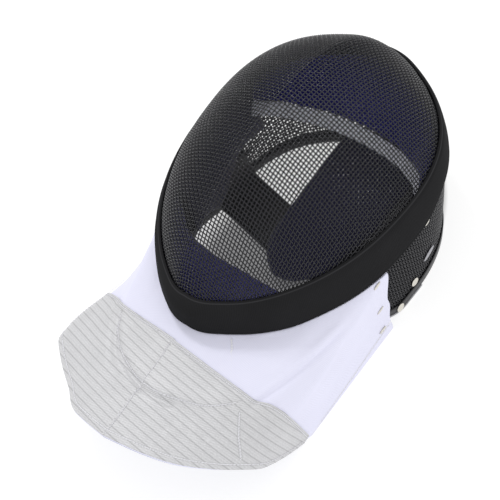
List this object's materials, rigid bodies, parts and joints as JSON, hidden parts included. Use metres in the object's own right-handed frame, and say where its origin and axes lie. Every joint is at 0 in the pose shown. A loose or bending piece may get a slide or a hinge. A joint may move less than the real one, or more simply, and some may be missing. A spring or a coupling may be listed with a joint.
{
  "type": "fencing mask",
  "caption": "Woven wire face mask with a black trim band, a white cloth throat bib with a grey striped panel, blue padding, a rear tongue and a back strap.",
  "frame": {"origin": "centre of the rear opening, on the plane of the rear rim that the mask rests on", "axes": "+X to the wearer's left, +Y towards the crown, +Z out of the face; the mask lies face up"},
  "size_m": [0.2034, 0.3849, 0.1942],
  "materials": {
    "black_wire_mesh": "satin",
    "black_binding": "matte",
    "black_trim_cloth": "matte",
    "white_bib_cloth": "matte",
    "grey_conductive_cloth": "satin",
    "navy_lining_cloth": "matte",
    "blue_pad_cloth": "matte",
    "pale_binding": "matte",
    "navy_pad_cloth": "matte",
    "black_strap_web": "matte",
    "warm_steel": "satin",
    "grey_steel": "satin"
  },
  "bodies": {
    "root": {"front_mesh": "black_wire_mesh", "side_mesh": "black_wire_mesh", "mesh_trim": "black_trim_cloth", "rear_rim": "black_binding", "bib": "white_bib_cloth", "bib_panel": "grey_conductive_cloth", "bib_lining": "navy_lining_cloth", "forehead_pad": "blue_pad_cloth", "chin_pad": "blue_pad_cloth", "forehead_band": "pale_binding", "cheek_pad_left": "navy_pad_cloth", "cheek_pad_right": "navy_pad_cloth", "rear_tongue": "navy_pad_cloth", "back_strap": "black_strap_web", "rivet_left_front": "warm_steel", "rivet_left_upper": "warm_steel", "rivet_left_lower": "warm_steel", "side_plate_left": "grey_steel", "staple_left_front": "warm_steel", "staple_left_middle": "warm_steel", "staple_left_rear": "warm_steel", "rivet_right_front": "warm_steel", "rivet_right_upper": "warm_steel", "rivet_right_lower": "warm_steel", "side_plate_right": "grey_steel", "staple_right_front": "warm_steel", "staple_right_middle": "warm_steel", "staple_right_rear": "warm_steel"}
  },
  "joints": []
}
